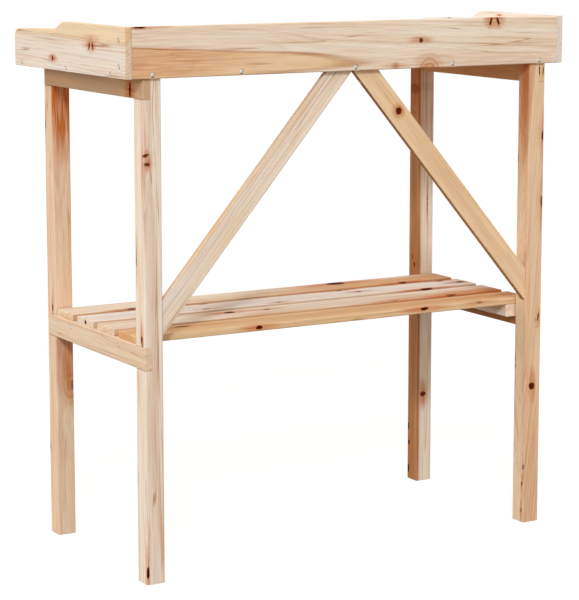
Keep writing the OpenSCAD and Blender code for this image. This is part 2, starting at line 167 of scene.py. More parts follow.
def planed_fir(node, grain, pith, lean=(0, 0), bow=4.0, sap=PALE, heart=TAN, heart_r=0.0, edge=3.0,
               rim=0.0, late=0.6, veins=0.5, tone=STRAW, tones=0.5, knots=(), eyes=(), swerve=3.0,
               ends=(0.96, 0.9, 0.83), sides=()):
    """Planed raw fir: matt, pale sapwood and tan heartwood, with soft growth rings, long fine
    fibres, a few resin veins, and dark red knots in orange wood.

    The whole figure hangs on one log, so the faces show long lines and the ends show arcs. grain is
    the axis that the log lies along, or how it is turned; pith is how far from the middle of the
    piece its pith runs, in mm, lean how that runs off, in degrees, and bow how far it wanders, in
    mm. Inside heart_r the wood is heart, outside it sap, with a change as wide as edge to each
    side, in mm. rim is how dark the last ring of the heart is; late, veins and tones are how strong
    late wood, resin veins and bands of the colour tone are. The rings swerve round knots by so many
    mm. ends tints the sawn ends, and sides holds the direction and the tint of other faces."""
    mat = bpy.data.materials.new("fir_" + node)
    add = nodes_of(mat)
    straight = isinstance(grain, str)
    base = Euler([math.radians(a) for a in (GRAIN[grain] if straight else grain)])
    runs = Euler((math.radians(lean[0]), math.radians(lean[1]), 0))
    turn = (base.to_matrix() @ runs.to_matrix()).to_euler()
    at = (middle(node) + pith) / 1000
    place = add("TexCoord", out="Object")
    log = add("Mapping", {"Vector": place, "Location": at, "Rotation": turn, "Scale": (0.001,) * 3},
              vector_type="TEXTURE")

    # the stem was never quite straight: it wanders a few millimetres over its length
    slow = add("Mapping", {"Vector": log, "Scale": (1 / 60, 1 / 60, 1 / 330)})
    wander = add("TexNoise", {"Vector": slow, "Scale": 1.0}, out="Color")
    wander = add("VectorMath SUBTRACT", {0: wander, 1: (0.5, 0.5, 0.5)})
    wander = add("VectorMath MULTIPLY", {0: wander, 1: (2 * bow, 2 * bow, 0)})
    bent = add("VectorMath ADD", {0: log, 1: wander})

    # knots: each is an ellipsoid of dark hard wood in a longer one of orange wood, and the rings
    # swerve round it; their edges are rough by a millimetre or two
    rough = add("TexNoise", {"Vector": place, "Scale": 330.0}, out="Color")
    rough = add("VectorMath SUBTRACT", {0: rough, 1: (0.5, 0.5, 0.5)})
    rough = add("VectorMath SCALE", {0: rough, "Scale": 0.004})
    worn = add("VectorMath ADD", {0: place, 1: rough})
    reach = tuple(0.35 if a == grain else 1.3 for a in "xyz") if straight else (0.9,) * 3
    near, core, halo = None, None, None
    for *spot, dark, turned in [(*knot, (0, 0, 0))[:8] for knot in knots]:  # no turn is a turn of 0
        k = add("Mapping", {"Vector": worn, "Location": [v / 1000 for v in spot[:3]],
                            "Rotation": [math.radians(a) for a in turned],
                            "Scale": [v / 1000 for v in spot[3:]]}, vector_type="TEXTURE")
        far = add("VectorMath LENGTH", {0: k}, out="Value")
        c = add("MapRange", {0: far, 1: 1.1, 2: 0.7, 4: max(dark, 0)}, **SMOOTH)
        h = add("VectorMath MULTIPLY", {0: k, 1: reach})
        h = add("VectorMath LENGTH", {0: h}, out="Value")
        h = add("MapRange", {0: h, 1: 2.6, 2: 0.6, 4: 0.4 + 0.5 * dark if dark > 0 else -dark}, **SMOOTH)
        if near is not None:
            far = add("Math MINIMUM", {0: near, 1: far})
            c = add("Math MAXIMUM", {0: core, 1: c})
            h = add("Math MAXIMUM", {0: halo, 1: h})
        near, core, halo = far, c, h

    # mm from the pith, and more near a knot, which bends the rings
    flat = add("VectorMath MULTIPLY", {0: bent, 1: (1, 1, 0)})
    stem = add("VectorMath LENGTH", {0: flat}, out="Value")
    radius = stem
    if knots:
        push = add("MapRange", {0: near, 1: 3.6, 2: 0.8, 4: swerve}, interpolation_type="SMOOTHERSTEP")
        radius = add("Math ADD", {0: radius, 1: push})

    # growth rings: pale early wood that darkens slowly and ends sharply; years and patches differ
    years = add("Math MULTIPLY", {0: radius, 1: 1 / RING})
    odd = add("TexNoise", {"W": years, "Scale": 0.31, "Detail": 1.0}, noise_dimensions="1D")
    years = add("Math MULTIPLY_ADD", {0: odd, 1: 2.2, 2: years})
    year = add("Math FRACT", {0: years})
    rise = add("MapRange", {0: year, 1: 0.2, 2: 0.86}, **SMOOTH)
    fall = add("MapRange", {0: year, 1: 0.86, 2: 1.0}, **SMOOTH)
    dark_ring = add("Math SUBTRACT", {0: rise, 1: fall})
    good = add("TexNoise", {"W": years, "Scale": 0.47, "Roughness": 0.7}, noise_dimensions="1D")
    good = add("MapRange", {0: good, 1: 0.38, 2: 0.68, 3: 0.1})
    patch = add("Mapping", {"Vector": bent, "Scale": (1 / 14, 1 / 14, 1 / 170)})
    patchy = add("TexNoise", {"Vector": patch, "Scale": 1.0})
    fade = add("MapRange", {0: patchy, 1: 0.3, 2: 0.7, 3: 0.15})
    dark_ring = add("Math MULTIPLY", {0: dark_ring, 1: good})
    dark_ring = add("Math MULTIPLY", {0: dark_ring, 1: fade})

    # heartwood and sapwood, slow warm and cool bands, the heart's dark last ring, and late wood
    inside = add("MapRange", {0: stem, 1: heart_r + edge, 2: heart_r - edge}, **SMOOTH)
    body = add("Mix", {0: inside, 6: linear(sap), 7: linear(heart)}, **COLOUR)
    band = add("Mapping", {"Vector": bent, "Location": (3.7, 1.9, 0.4), "Scale": (1 / 11, 1 / 11, 1 / 240)})
    band = add("TexNoise", {"Vector": band, "Scale": 1.0, "Detail": 3.0, "Roughness": 0.55})
    warm = add("MapRange", {0: band, 1: 0.42, 2: 0.7, 4: tones}, **SMOOTH)
    cool = add("MapRange", {0: band, 1: 0.5, 2: 0.3, 4: 0.45}, **SMOOTH)
    body = add("Mix", {0: warm, 6: body, 7: linear(tone)}, **COLOUR)
    paler = add("VectorMath MULTIPLY", {0: body, 1: (1.02, 1.07, 1.16)})
    body = add("Mix", {0: cool, 6: body, 7: paler}, **COLOUR)
    if rim:
        outside = add("Math SUBTRACT", {0: 1.0, 1: inside})
        last = add("Math MULTIPLY", {0: inside, 1: outside})
        last = add("Math MULTIPLY", {0: last, 1: 4 * rim})
        last = add("Math MULTIPLY", {0: last, 1: patchy})
        body = add("Mix", {0: last, 6: body, 7: linear(VEIN)}, **COLOUR)
    amount = add("Math MULTIPLY", {0: dark_ring, 1: late})
    body = add("Mix", {0: amount, 6: body, 7: linear(LATE)}, **COLOUR)

    # resin veins: lines a millimetre wide and a hand long, where a slow pattern passes its middle
    vein = add("Mapping", {"Vector": bent, "Location": (1.3, 5.1, 2.7), "Scale": (1 / 15, 1 / 15, 1 / 800)})
    vein = add("TexNoise", {"Vector": vein, "Scale": 1.0, "Detail": 1.5})
    vein = add("Math SUBTRACT", {0: vein, 1: 0.5})
    vein = add("Math ABSOLUTE", {0: vein})
    vein = add("MapRange", {0: vein, 1: 0.014, 2: 0.002, 4: veins}, **SMOOTH)
    broken = add("MapRange", {0: patchy, 1: 0.38, 2: 0.6}, **SMOOTH)
    vein = add("Math MULTIPLY", {0: vein, 1: broken})
    body = add("Mix", {0: vein, 6: body, 7: linear(VEIN)}, **COLOUR)

    # fibres about half a millimetre wide and many centimetres long, and short resin streaks
    thread = add("Mapping", {"Vector": bent, "Scale": (1.1, 1.1, 1 / 60)})
    thread = add("TexNoise", {"Vector": thread, "Scale": 1.0, "Detail": 3.0, "Roughness": 0.6})
    shade = add("MapRange", {0: thread, 1: 0.3, 2: 0.7, 3: 0.91, 4: 1.11})
    body = add("VectorMath SCALE", {0: body, "Scale": shade})
    streak = add("Mapping", {"Vector": bent, "Scale": (0.45, 0.45, 1 / 70)})
    streak = add("TexNoise", {"Vector": streak, "Scale": 1.0, "Detail": 1.0})
    resin = add("MapRange", {0: streak, 1: 0.62, 2: 0.8, 4: 0.3}, **SMOOTH)
    body = add("Mix", {0: resin, 6: body, 7: linear(LATE)}, **COLOUR)

    # eyes, which are pale knots sawn lengthways: arcs of late wood round a warmer middle
    for spot in eyes:
        k = add("Mapping", {"Vector": worn, "Location": [v / 1000 for v in spot[:3]],
                            "Scale": [v / 1000 for v in spot[3:]]}, vector_type="TEXTURE")
        far = add("VectorMath LENGTH", {0: k}, out="Value")
        dim = add("MapRange", {0: far, 1: 1.1, 2: 0.4, 4: 0.5}, **SMOOTH)
        arcs = add("Math MULTIPLY", {0: far, 1: 19.0})
        arcs = add("Math MULTIPLY_ADD", {0: patchy, 1: 7.0, 2: arcs})
        arcs = add("Math SINE", {0: arcs})
        arcs = add("Math MAXIMUM", {0: arcs, 1: 0.0})
        arcs = add("Math MULTIPLY", {0: arcs, 1: dim})
        glow = add("Math MULTIPLY", {0: dim, 1: 0.7})
        body = add("Mix", {0: glow, 6: body, 7: linear(AMBER)}, **COLOUR)
        body = add("Mix", {0: arcs, 6: body, 7: linear(VEIN)}, **COLOUR)

    if knots:
        grainy = add("MapRange", {0: streak, 1: 0.3, 2: 0.6, 3: 0.35})
        halo = add("Math MULTIPLY", {0: halo, 1: grainy})
        halo = add("Math MAXIMUM", {0: halo, 1: core})
        body = add("Mix", {0: halo, 6: body, 7: linear(HALO)}, **COLOUR)
        body = add("Mix", {0: core, 6: body, 7: linear(KNOT)}, **COLOUR)

    # sawn ends drink in more light than faces do, so the end grain is darker and warmer; sides tints other
    # faces, among them painted shade on the gap edges of slats, on top edges, and on the lower face of the
    # left brace
    facing = add("TexCoord", out="Normal")
    for way, tint in [(turn.to_matrix().col[2], ends), *sides]:
        if tint != (1, 1, 1):
            end = add("VectorMath DOT_PRODUCT", {0: facing, 1: way}, out="Value")
            end = add("Math ABSOLUTE", {0: end})
            end = add("MapRange", {0: end, 1: 0.55, 2: 0.9}, **SMOOTH)
            ended = add("VectorMath MULTIPLY", {0: body, 1: tint})
            body = add("Mix", {0: end, 6: body, 7: ended}, **COLOUR)

    # planed and not sanded: matt, the late wood a little glossier and standing a hair proud
    gloss = add("MapRange", {0: thread, 1: 0.3, 2: 0.7, 3: 0.68, 4: 0.56})
    height = add("Math MULTIPLY_ADD", {0: dark_ring, 1: 0.6, 2: thread})
    bump = add("Bump", {"Height": height, "Strength": 0.5, "Distance": 0.00025})
    wood = add("BsdfPrincipled", {"Base Color": body, "Roughness": gloss, "Normal": bump,
                                  "Specular IOR Level": 0.02})
    add("OutputMaterial", {"Surface": wood})
    return mat


def make_piece(node, points, faces, finish, kind="wood", painted_shade_and_dust=None):
    """The piece that stands for a CAD node, from points in mm and faces of four points, where a
    triangle names its last point twice. Points that meet are joined, and flat faces keep flat
    shading beside their rounded edges."""
    mesh = bpy.data.meshes.new(f"{node}_{kind}")
    faces = [f[:3] if f[2] == f[3] else f for f in faces.tolist()]
    mesh.from_pydata((points / 1000).tolist(), [], faces)
    # for screw heads, how dark each point is painted: wood dust and painted shade
    if painted_shade_and_dust is not None:
        mesh.attributes.new("painted_shade_and_dust", "FLOAT", "POINT").data.foreach_set("value", painted_shade_and_dust)
    joined = bmesh.new()
    joined.from_mesh(mesh)
    bmesh.ops.remove_doubles(joined, verts=joined.verts, dist=MEET)
    joined.to_mesh(mesh)
    joined.free()
    mesh.shade_smooth()
    mesh.set_sharp_from_angle(angle=math.radians(SHARP))
    mesh.materials.append(finish)
    piece = bpy.data.objects.new(f"{node}_{kind}", mesh)
    bpy.context.scene.collection.objects.link(piece)
    piece.modifiers.new("flat_faces", "WEIGHTED_NORMAL").keep_sharp = True
    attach(piece, "root")
    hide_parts(node)


# Knots are x, y, z and three radii in mm, how dark the knot is, and for some how it is turned, in
# degrees. One with a darkness below zero is only a stain, of that strength, over a knot that lies
# deeper; some stains and faint knots at the tops of the legs under the tray, and just under the shelf, are
# painted shade. Eyes are x, y, z and three radii.
LEGS = {
    "leg_rear_right": dict(
        pith=(14, -34, 0), lean=(0.6, 0.4), heart_r=18, sap="#f7e8d8", tone=CREAM, tones=.6, veins=.7,
        knots=[(365, 198, 659, 6, 5, 2.8, .85, (0, 16, 0)), (363, 198, 646, 6, 5, 3.2, .85, (0, -12, 0)),
               (367, 197, 652, 3, 5, 14, -.6), (368, 196, 690, 2.2, 3, 26, -.4),
               (368, 196, 620, 2.2, 3, 24, -.4), (367, 198, 19, 2.2, 5, 11, 1),
               (353, 198, 170, 12, 4, 60, -.16), (369, 187, 380, 3, 3, 6, .9), (369, 190, 371, 3, 2, 6, .7),
               (370, 172, 499, 3, 1.5, 9, .8), (370, 167, 159, 4, 3, 6, 1)]),
    "leg_front_right": dict(
        pith=(5, 42, 0), lean=(1.6, 0.5), sap="#efd5b8", tone=ROSE, tones=.4,
        eyes=[(344, -126.5, 250, 20, 16, 36)],
        # painted shade: the first two stains, at the top under the tray and just under the shelf
        knots=[(353, -126, 738, 20, 4, 22, -1.3), (350, -126, 300, 18, 4, 14, -.8),
               (350, -126, 500, 20, 4, 40, -.13), (370, -147, 708, 3, 1.5, 5, .6),
               (369, -155, 678, 5, 3, 8, 1), (369, -137, 380, 4, 3, 6, .8), (369, -156, 145, 4, 3, 5, .9),
               (339, -126, 251, 6, 6, 9, .5)]),
    "leg_front_left": dict(
        pith=(56, -8, 0), heart="#ae7850", heart_r=50, edge=2, bow=3, sap="#f4e5d4", tones=.3,
        # painted shade: the first three marks, darkening the top of the leg under the tray
        knots=[(-338, -142, 710, 4, 20, 10, .4), (-353, -126, 715, 20, 4, 9, .1),
               (-353, -126, 690, 20, 4, 16, -.4), (-338, -139, 395, 4, 3, 5, .9),
               (-338, -146, 409, 4, 2, 6, .6), (-338, -154, 97, 4, 3, 8, 1), (-338, -152, 67, 4, 3, 5, 1),
               (-338, -154, 19, 4, 4, 9, 1), (-350.5, -126, 160, 7, 6, 5, .9),
               (-356.5, -126, 503, 1.2, 3, 22, .5)]),
    "leg_rear_left": dict(
        pith=(48, 6, 0), lean=(0, -5), heart="#c5855b", heart_r=10, edge=8, sap="#f3d6b4", tone=ROSE,
        tones=.2,
        knots=[(-353, 198, 40, 18, 4, 50, -.36), (-340, 198, 110, 7, 4, 110, -.42),
               (-350, 198, 350, 14, 4, 200, -.14), (-367, 198, 653, 4, 4, 10, .85),
               (-364, 198, 654, 7, 4, 6, -.45), (-367, 198, 544, 4, 4, 11, .7),
               # painted shade: the stain at (-338, 170, 725), on the top of the inner face under the tray
               (-364, 198, 545, 7, 4, 7, -.45), (-338, 170, 725, 4, 22, 30, -.7),
               (-338, 192, 590, 4, 4, 100, -.22), (-352, 197, 233.6, 6.5, 6, 7, .95),
               (-338, 168.8, 615, 3, 1.5, 8, .9), (-338, 168.8, 272, 3, 1.5, 16, .9),
               (-338, 195.6, 96, 3, 2, 5, .7), (-338, 193, 66, 3, 2, 4, .9), (-338, 192, 21, 3, 2, 5, .8)]),
}
for node, look in LEGS.items():
    lo, hi = mm_box(node)
    name, s = ("right", 1) if node.endswith("right") else ("left", -1)
    floor_of_lap = (hi[0] - LAP) if s > 0 else (lo[0] + LAP)
    top, low = mm_box("top_rail_" + name), mm_box("shelf_rail_" + name)
    cuts = [low[0][2] - JOINT, low[1][2] + JOINT, top[0][2] - JOINT]
    block, faces = skin(lines(lo[0], hi[0], HOUSED, LEG_ARRIS, at=[floor_of_lap]),
                        lines(lo[1], hi[1], ACROSS, LEG_ARRIS),
                        lines(lo[2], hi[2], ALONG, SAWN_EASE, steps=cuts))
    points = planed(block, lo, hi, 2, LEG_ARRIS, laps=[(0, s, floor_of_lap, cuts[0], cuts[1]),
                                                       (0, s, floor_of_lap, cuts[2], math.inf)])
    make_piece(node, points, faces, planed_fir(node, "z", **look))

# -------------------------------------------------- side rails
# On each side a rail under the tray and a deeper one under the shelf tie the front leg to the
# rear one. They are fir, full thickness between the legs and halved at both ends, and their ends
# are rounded like the legs that they lie flush in. Two screws through each lower rail hold a cleat.
CLEAT_SCREW_FRONT, CLEAT_SCREW_REAR = 56.0, 60.0  # mm from the front leg and from the rear leg
CLEAT_SCREW = 42.0  # mm length
TURNED_IN = 0.96  # share of a leg's round that a rail end follows
HEAD_R, SEAT = 3.8, 1.6  # mm: radius of a screw head, and how deep the wood under it starts
HOLE_R, BRIM_R, WHOLE_R, BRIM = 3.9, 3.98, 4.15, 0.25  # mm: radii of the hole and its crushed brim, its dip
SQUARE_R, FADE = 5.4, 1.2  # mm: from where the grid is square again, and over how much it fades
RINGS = np.array([0, 1.5, 3, HOLE_R, BRIM_R, WHOLE_R, SQUARE_R])  # mm from a screw to lines round it
screws = defaultdict(list)  # for each group of screws: where each enters, its way in, its length


def around(centres, stretch=1):
    """Grid lines to both sides of each screw mouth, which is stretch times as long as wide."""
    return (np.array(centres) + np.outer(np.append(RINGS, -RINGS), stretch)).ravel()


def rounded(a, b):
    """The square ring of the grid that a point (a, b) is on, m = max(|a|, |b|), and the factor
    m / |(a, b)| that makes it a circle of radius m. The factor fades to 1 from 4.2 to 5.4 mm."""
    m, far = np.maximum(abs(a), abs(b)), np.maximum(np.hypot(a, b), 1e-9)
    full = np.clip((SQUARE_R - m) / FADE, 0, 1)
    return m, np.where(m > 0, 1 - full + full * m / far, 1)


def mouths(p, block, axis, side, centres):
    """Opens a countersunk mouth at each centre on the face of the block whose outward way is side
    along the axis. Inside 4.15 mm the crushed brim dips 0.25 mm, and inside 3.9 mm the wood drops
    1.6 mm, to the head of the screw."""
    a, b = [k for k in range(3) if k != axis]
    for c in centres:
        da, db = block[:, a] - c[a], block[:, b] - c[b]
        m, bend = rounded(da, db)
        here = (abs(block[:, axis] - c[axis]) < HAIR) & (m < SQUARE_R)
        p[here, a], p[here, b] = (c[a] + da * bend)[here], (c[b] + db * bend)[here]
        p[here, axis] -= side * np.interp(m, (HOLE_R, BRIM_R, WHOLE_R), (SEAT, BRIM, 0))[here]
    return p


def board(node, along, arris, grid, face=0, side=1, entry=(), more=None):
    """A straight piece the size of a CAD node, planed, with a mouth at each entry on the face whose
    outward way is side along the axis face. grid is the mm between free grid lines on each axis,
    and more holds other lines by axis. Gives the points and faces."""
    lo, hi = mm_box(node)
    rows = [lines(lo[k], hi[k], grid[k], SAWN_EASE if k == along else arris,
                  at=np.append((more or {}).get(k, []), around([e[k] for e in entry if k != face])))
            for k in range(3)]
    block, faces = skin(*rows)
    return mouths(planed(block, lo, hi, along, arris), block, face, side, entry), faces


RAILS = {
    "top_rail_left": dict(
        # painted shade: the heart colour, which covers the inner face under the tray, is dark orange for the
        # shade there
        pith=(42, 0, 0), heart="#dfa97d", heart_r=36, edge=2, bow=2, sap="#e9c9a4", tones=.3,
        ends=(1, .98, .95),
        knots=[(-357, 198, 762, 1.2, 4, 8, 1, (0, 6, 0)), (-365, 198, 760, 1.2, 4, 7, .8, (0, -4, 0))]),
    "top_rail_right": dict(
        # painted shade: the sap colour is darker, for the shade under the side panel's overhang
        pith=(30, 0, -8), sap="#cfad8f", ends=(1.02, 1, .97), knots=[(369, 155.7, 754, 4, 3.6, 13, 1)]),
    "shelf_rail_left": dict(
        # painted shade: the dark heart colour, which covers the inner face under the slats, stands for the
        # shade there
        pith=(42, 0, 0), heart="#a8643c", heart_r=36, edge=2, bow=2, sap="#e6c29a", tones=.3,
        ends=(1, .98, .95),
        knots=[(-355, 198, 349, 1.3, 4, 8, 1, (0, 5, 0)), (-362.5, 198, 350, 1.3, 4, 8, .9, (0, -5, 0))]),
    "shelf_rail_right": dict(pith=(26, 0, 20), sap="#ead2b8", tone=ROSE, tones=.3, ends=(1, .98, .95)),
}
for node, look in RAILS.items():
    lo, hi = mm_box(node)
    name, s = ("right", 1) if node.endswith("right") else ("left", -1)
    halved = (hi[0] - LAP) if s > 0 else (lo[0] + LAP)
    cuts = [mm_box("leg_front_" + name)[1][1], mm_box("leg_rear_" + name)[0][1]]
    entry = []
    if node.startswith("shelf"):
        entry = [(hi[0] if s > 0 else lo[0], y, middle("shelf_cleat_" + name)[2])
                 for y in (cuts[0] + CLEAT_SCREW_FRONT, cuts[1] - CLEAT_SCREW_REAR)]
        screws["shelf_cleat_screws"] += [(e, (-s, 0, 0), CLEAT_SCREW) for e in entry]
    block, faces = skin(lines(lo[0], hi[0], HOUSED, LEG_ARRIS, at=[halved]),
                        lines(lo[1], hi[1], ALONG, LEG_ARRIS, at=around([e[1] for e in entry]), steps=cuts),
                        lines(lo[2], hi[2], ACROSS, LEG_ARRIS, at=around([e[2] for e in entry[:1]])))
    points = planed(block, lo, hi, 1, LEG_ARRIS, laps=[(0, -s, halved, -math.inf, cuts[0]),
                                                       (0, -s, halved, cuts[1], math.inf)])
    # the outer face turns in at both ends by the leg's own quarter circle: the wood outside the
    # arris line is pressed towards it
    near = np.clip(LEG_ARRIS - np.minimum(points[:, 1] - lo[1], hi[1] - points[:, 1]), 0, LEG_ARRIS)
    line = max(abs(lo[0]), abs(hi[0])) - LEG_ARRIS
    outside = np.clip(s * points[:, 0] - line, 0, None)
    points[:, 0] -= s * outside * (1 - np.sqrt(LEG_ARRIS ** 2 - near ** 2) / LEG_ARRIS) * TURNED_IN
    points = mouths(points, block, 0, s, entry)
    make_piece(node, points, faces, planed_fir(node, "y", **look))

# -------------------------------------------------- shelf cleats
# A square fir batten inside each shelf rail, between the legs. Two screws come through the rail
# into it, and screws driven up through it hold the slats.
SLAT_SCREWS = (-15.0, 15.0)  # mm from the middle of a slat to the two screws at each end
SLAT_SCREW = 27.0  # mm length
CLEAT_GRID = (8, 12, 8)  # mm between free grid lines along x, y and z
CLEATS = {
    "shelf_cleat_left": dict(pith=(16, 0, 20), sap="#fcebda", ends=(1, 1, 1)),
    "shelf_cleat_right": dict(pith=(16, 0, 20)),
}
for node, look in CLEATS.items():
    lo, hi = mm_box(node)
    rows = [middle(f"shelf_slat_{i}")[1] + t for i in range(1, 5) for t in SLAT_SCREWS]
    entry = [((lo[0] + hi[0]) / 2, y, lo[2]) for y in rows]
    screws["shelf_slat_screws"] += [(e, (0, 0, 1), SLAT_SCREW) for e in entry]
    points, faces = board(node, 1, LEG_ARRIS, CLEAT_GRID, 2, -1, entry)
    make_piece(node, points, faces, planed_fir(node, "y", **look))

# -------------------------------------------------- shelf slats
# Four thin fir boards lie across both cleats with gaps between them for water to run through.
# They are planed all round and sawn square at the ends; no screw comes through their tops.
BOARD_ARRIS = 2.0  # mm radius of the rounded long edges of the thin boards
SLAT_GRID = (12, 10, 8)
SHADED_SLAT_EDGES = [((0, 1, 0), (0.8, 0.62, 0.48))]  # painted shade: the narrow edges of a slat, down in the gaps between slats, are darker and browner
# partly the wood's tone and partly painted shade: the stains and long dark streaks at the -X ends of slats 1,
# 3 and 4, near the left legs and the brace
SLATS = {
    "shelf_slat_1": dict(
        pith=(0, 12, -42), lean=(0, 1.4), heart_r=48, edge=4, heart="#dfb288", sap="#f6e6d2", bow=3,
        sides=SHADED_SLAT_EDGES,
        knots=[(-154.7, -110, 380, 20, 12, 4, 1), (-345, -110, 380, 30, 22, 9, -.2),
               (-265, -66, 380, 10, 4, 4, .8), (262, -66, 380, 10, 4, 4, .7)]),
    "shelf_slat_2": dict(
        pith=(0, -14, -44), sap="#f0e6dc", tone=ROSE, tones=.1, veins=.2, sides=SHADED_SLAT_EDGES,
        knots=[(-327.5, -42, 380, 8, 5, 5, .8), (-352, -15.5, 380, 8, 7, 5, .8),
               (-121, -45, 380, 7, 5, 5, .9), (-145, -19, 380, 6, 5, 5, .8), (-263, 11, 380, 14, 4, 5, .9),
               (141, -45, 380, 10, 4, 5, .8), (24, 4, 380, 6, 4, 5, .8), (159, 0, 380, 8, 4, 5, .7),
               (368, -16, 374.7, 5, 3.5, 3, 1)]),
    "shelf_slat_3": dict(
        pith=(0, 20, -44), lean=(0, 1.2), heart_r=46, edge=4, heart="#dba87e", sap="#f2e2d0", bow=3,
        sides=SHADED_SLAT_EDGES,
        knots=[(-355, 85, 380, 20, 30, 9, -.55), (-322, 98, 380, 46, 3, 5, .3), (-263, 85, 380, 12, 5, 5, .6),
               (-350, 80, 380, 30, 3, 5, .35), (-151, 84, 380, 9, 5, 5, .3), (142, 47.7, 380, 11, 7, 5, 1),
               (76, 53.7, 380, 7, 5, 5, .7)]),
    "shelf_slat_4": dict(
        pith=(0, -4, -40), heart_r=48, sap="#ecc9a0", heart="#e0b283",
        knots=[(-355, 125, 380, 20, 14, 9, -.5), (-340, 128, 380, 40, 3, 5, .35),
               (265, 120, 380, 16, 4, 5, .8), (-158, 163.5, 377, 9, 6, 3, 1),
               (-267, 163.5, 378, 7, 5, 2.2, .5), (152, 163.5, 375, 7, 4, 3.5, 1)]),
}
for node, look in SLATS.items():
    points, faces = board(node, 0, BOARD_ARRIS, SLAT_GRID)
    make_piece(node, points, faces, planed_fir(node, "x", **look))

# -------------------------------------------------- braces
# Two flat fir braces lie just in front of the rear faces of the back legs. Each is sawn level
# under the tray, where the pair meet at the middle, and upright against its leg at the shelf.
BRACE_W = 36.0  # mm width of a brace
BRACE_GRID = 9.0  # mm between free grid lines across it
HEAD_SCREW_IN, FOOT_SCREW_UP = 16.0, 23.0  # mm from the middle of the bench, and above the foot
HEAD_SCREW, FOOT_SCREW = 22.0, 35.0  # mm length
BRACES = {
    "brace_left": dict(
        pith=(0, 34, 6), sap="#f3d2ab", tone=AMBER, tones=.25, late=.4, veins=.3,
        # painted shade: the lower slanting face of this brace, which looks down, is darker and browner
        sides=[((0.758, 0, -0.652), (0.58, 0.44, 0.33))], knots=[(-85.5, 193, 706, 6, 6, 6.5, .95)]),
    "brace_right": dict(
        pith=(50, 0, 43), heart="#f6ebe3", heart_r=44, edge=1, rim=.9, bow=2, sap="#f6e5d0", tone="#e8c084",
        tones=.6, late=.42, veins=.5, sides=[((0.758, 0, 0.652), (0.9, 0.78, 0.66))]),
}
for node, look in BRACES.items():
    lo, hi = mm_box(node)
    s = 1 if node.endswith("right") else -1
    start, end = min(abs(lo[0]), abs(hi[0])), max(abs(lo[0]), abs(hi[0]))
    slope = math.atan2(hi[2] - lo[2], end - start)
    long = (end - start) / math.cos(slope)
    flat_lo, flat_hi = np.array([0, lo[1], 0]), np.array([long, hi[1], BRACE_W])
    # two screws go in through the slanting lower edge, one upwards under the tray and one level
    # into the leg; on the slant a round hole is an oval, as much longer as its screw leans over
    entry = np.array([(HEAD_SCREW_IN, hi[2] - (HEAD_SCREW_IN - start) * math.tan(slope)),
                      (end - FOOT_SCREW_UP / math.tan(slope), lo[2] + FOOT_SCREW_UP)])
    spots = (entry[:, 0] - start) / math.cos(slope)
    ovals = np.array([1 / math.cos(slope), 1 / math.sin(slope)])
    across = (lo[1] + hi[1]) / 2
    block, faces = skin(lines(0, long, ALONG, SAWN_EASE, at=around(spots, ovals)),
                        lines(lo[1], hi[1], ACROSS, BOARD_ARRIS, at=around([across])),
                        lines(0, BRACE_W, BRACE_GRID, BOARD_ARRIS))
    flat = planed(block, flat_lo, flat_hi, 0, BOARD_ARRIS)
    inside = []
    for spot, oval in zip(spots, ovals):
        da, db = (block[:, 0] - spot) / oval, block[:, 1] - across
        m, bend = rounded(da, db)
        here = (block[:, 2] == 0) & (m < SQUARE_R)
        flat[here, 0], flat[here, 1] = (spot + da * bend * oval)[here], (across + db * bend)[here]
        inside.append(here & (m < (HOLE_R + BRIM_R) / 2))
    # how far along its length, a, and how far up from its lower edge, t: the line at t starts at
    # the level cut under the tray and ends at the upright cut against the leg
    a, t = flat[:, 0] / long, flat[:, 2]
    x_top, z_foot = start + t / math.sin(slope), lo[2] + t / math.cos(slope)
    points = np.stack([s * (x_top + (end - x_top) * a), flat[:, 1], hi[2] + (z_foot - hi[2]) * a], -1)
    # each screw is driven until the whole of its head is in the slanting edge
    head_z = hi[2] - (HEAD_SCREW_IN - HEAD_R - start) * math.tan(slope)
    foot_x = end - (FOOT_SCREW_UP - HEAD_R) / math.tan(slope)
    points[inside[0], 2], points[inside[1], 0] = head_z + SEAT, s * (foot_x + SEAT)
    screws["brace_screws"] += [((s * foot_x, across, lo[2] + FOOT_SCREW_UP), (s, 0, 0), FOOT_SCREW),
                               ((s * HEAD_SCREW_IN, across, head_z), (0, 0, 1), HEAD_SCREW)]
    turn = (0, 90 + s * math.degrees(slope), 0)
    make_piece(node, points, faces if s > 0 else faces[:, ::-1], planed_fir(node, turn, **look))

# -------------------------------------------------- tray planks
# Five fir planks floor the tray, with narrow drain gaps. Each is screwed down into the top rails,
# and the first and last into the legs; the side panels are screwed to the ends of three of them.
PLANK_SCREWS = (-19.0, 19.0)  # mm from the middle of a plank to the two screws at each end
PLANK_SCREW = 35.0  # mm length
CLEAR = 2 * HEAD_R  # mm that a screw into the rail keeps from a leg
PLANK_GRID = (12, 12, 8)
HANDLED, HANDLED_HEART = "#e6cbae", "#c98f5f"  # a tray floor in use, a little darker than fresh wood
PLANKS = {
    "tray_plank_1": dict(pith=(0, 6, -40), heart_r=40,
                         knots=[(-118, -176, 784, 8, 5, 5, .9), (216, -148, 784, 6, 4, 5, .7)]),
    "tray_plank_2": dict(pith=(0, -16, -44), heart_r=44, knots=[(64, -98, 784, 7, 4, 5, .85)]),
    "tray_plank_3": dict(pith=(0, 14, -40), heart_r=42,
                         knots=[(-262, -18, 784, 6, 4, 5, .8), (170, 12, 784, 9, 6, 5, .95)]),
    "tray_plank_4": dict(pith=(0, -6, -50), heart_r=50, knots=[(-30, 88, 784, 6, 4, 5, .8)]),
    "tray_plank_5": dict(pith=(0, 18, -38), heart_r=40,
                         knots=[(280, 140, 784, 7, 4, 5, .85), (-170, 168, 784, 5, 4, 5, .7)]),
}
leg_front, leg_rear = mm_box("leg_front_right"), mm_box("leg_rear_right")
over_leg = (leg_front[0][0] + leg_front[1][0] - LAP) / 2
